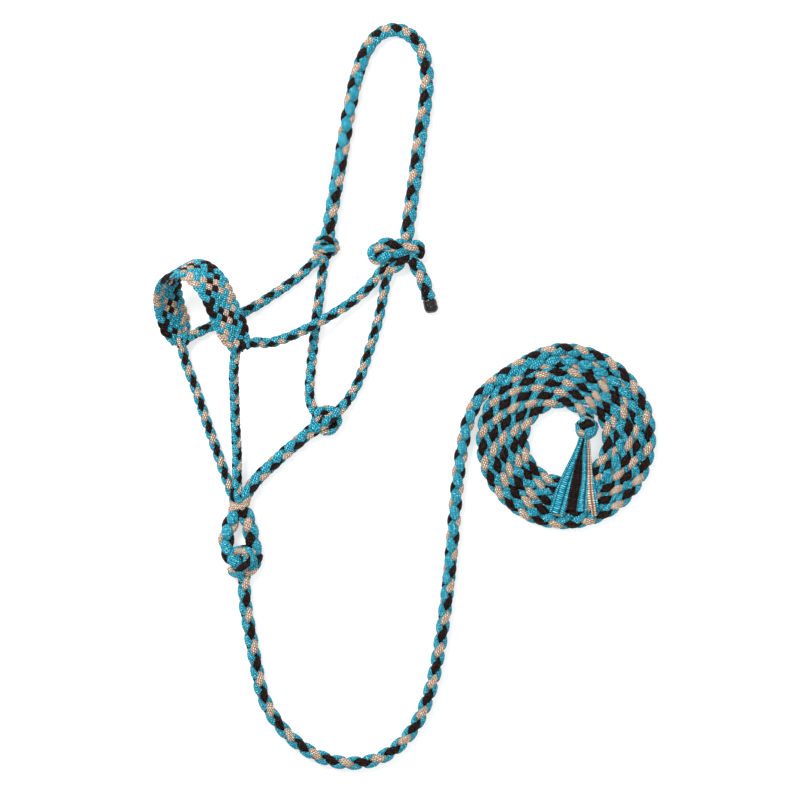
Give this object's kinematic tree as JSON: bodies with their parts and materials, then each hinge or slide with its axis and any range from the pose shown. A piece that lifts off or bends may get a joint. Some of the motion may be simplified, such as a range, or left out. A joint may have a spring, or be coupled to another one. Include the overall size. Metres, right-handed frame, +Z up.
{
  "type": "rope halter with lead",
  "caption": "Plaited rope halter for a horse, with knotted cheek, throat and chin straps, a flat plaited noseband and a long coiled lead ending in a tape tassel.",
  "frame": {"origin": "on the surface the halter lies on, under the middle of the halter's own box, the lead left out", "axes": "+Z up from the surface; +Y from the lead hitch under the chin to the top of the crown; +X towards the side where the lead is coiled"},
  "size_m": [0.6, 0.8952, 0.1168],
  "materials": {
    "plaited_rope": "round plait of woven polyester tape in turquoise, black-brown and tan, satin",
    "turquoise_tape": "ribbed woven polyester tape, satin",
    "black_tape": "ribbed woven polyester tape, satin",
    "tan_tape": "ribbed woven polyester tape, satin",
    "black_cap": "whipped and dipped rope end, dull black"
  },
  "bodies": {
    "halter": {"tie_bight": "plaited_rope", "tie_turn": "plaited_rope", "far_cheek_knot": "plaited_rope", "far_cheek_strap": "plaited_rope", "near_cheek_strap": "plaited_rope", "far_throat_strap": "plaited_rope", "near_throat_strap": "plaited_rope", "throat_knot": "plaited_rope", "throat_chin_strap": "plaited_rope", "far_chin_strap": "plaited_rope", "near_chin_strap": "plaited_rope", "lead_loop": "plaited_rope", "lead_hitch": "plaited_rope", "far_nose_corner": "plaited_rope", "near_nose_corner": "plaited_rope", "chin_wrap": "tan_tape"},
    "crown": {"crown_strap": "plaited_rope"},
    "nose": {"nose_plait": "plaited_rope"},
    "crown_tail": {"crown_tail": "plaited_rope", "crown_tail_cap": "black_cap"},
    "lead": {"lead_rope": "plaited_rope", "lead_coil": "plaited_rope", "lead_end_knot": "plaited_rope"},
    "tassel_tape_1": {"tassel_tape_1": "turquoise_tape"},
    "tassel_tape_2": {"tassel_tape_2": "black_tape"},
    "tassel_tape_3": {"tassel_tape_3": "black_tape"},
    "tassel_tape_4": {"tassel_tape_4": "turquoise_tape"},
    "tassel_tape_5": {"tassel_tape_5": "turquoise_tape"},
    "tassel_tape_6": {"tassel_tape_6": "tan_tape"},
    "tassel_tape_7": {"tassel_tape_7": "tan_tape"},
    "tassel_tape_8": {"tassel_tape_8": "turquoise_tape"}
  },
  "joints": [
    {"name": "crown_fold", "type": "hinge", "parent": "halter", "child": "crown", "pos_m": [0.035, 0.067, 0.01], "axis": [0.993, -0.1077, 0.0479], "range_deg": [0, 100]},
    {"name": "nose_fold", "type": "hinge", "parent": "halter", "child": "nose", "pos_m": [-0.138, -0.046, 0.0115], "axis": [0.7068, -0.0871, 0.702], "range_deg": [0, 60]},
    {"name": "crown_tail_swing", "type": "hinge", "parent": "halter", "child": "crown_tail", "pos_m": [0.136, 0.05, 0.013], "axis": [0, 0, 1], "range_deg": [-35, 25]},
    {"name": "lead_swing", "type": "hinge", "parent": "halter", "child": "lead", "pos_m": [-0.061, -0.311, 0.013], "axis": [0, 0, 1], "range_deg": [-28, 8]},
    {"name": "tape_lift_1", "type": "hinge", "parent": "lead", "child": "tassel_tape_1", "pos_m": [0.347, -0.148, 0.015], "axis": [-0.992, 0.126, 0], "range_deg": [0, 70]},
    {"name": "tape_lift_2", "type": "hinge", "parent": "lead", "child": "tassel_tape_2", "pos_m": [0.347, -0.148, 0.015], "axis": [-0.992, 0.126, 0], "range_deg": [0, 70]},
    {"name": "tape_lift_3", "type": "hinge", "parent": "lead", "child": "tassel_tape_3", "pos_m": [0.347, -0.148, 0.015], "axis": [-0.992, 0.126, 0], "range_deg": [0, 70]},
    {"name": "tape_lift_4", "type": "hinge", "parent": "lead", "child": "tassel_tape_4", "pos_m": [0.347, -0.148, 0.015], "axis": [-0.992, 0.126, 0], "range_deg": [0, 70]},
    {"name": "tape_lift_5", "type": "hinge", "parent": "lead", "child": "tassel_tape_5", "pos_m": [0.347, -0.148, 0.015], "axis": [-0.992, 0.126, 0], "range_deg": [0, 70]},
    {"name": "tape_lift_6", "type": "hinge", "parent": "lead", "child": "tassel_tape_6", "pos_m": [0.347, -0.148, 0.015], "axis": [-0.992, 0.126, 0], "range_deg": [0, 70]},
    {"name": "tape_lift_7", "type": "hinge", "parent": "lead", "child": "tassel_tape_7", "pos_m": [0.347, -0.148, 0.015], "axis": [-0.992, 0.126, 0], "range_deg": [0, 70]},
    {"name": "tape_lift_8", "type": "hinge", "parent": "lead", "child": "tassel_tape_8", "pos_m": [0.347, -0.148, 0.015], "axis": [-0.992, 0.126, 0], "range_deg": [0, 70]}
  ]
}
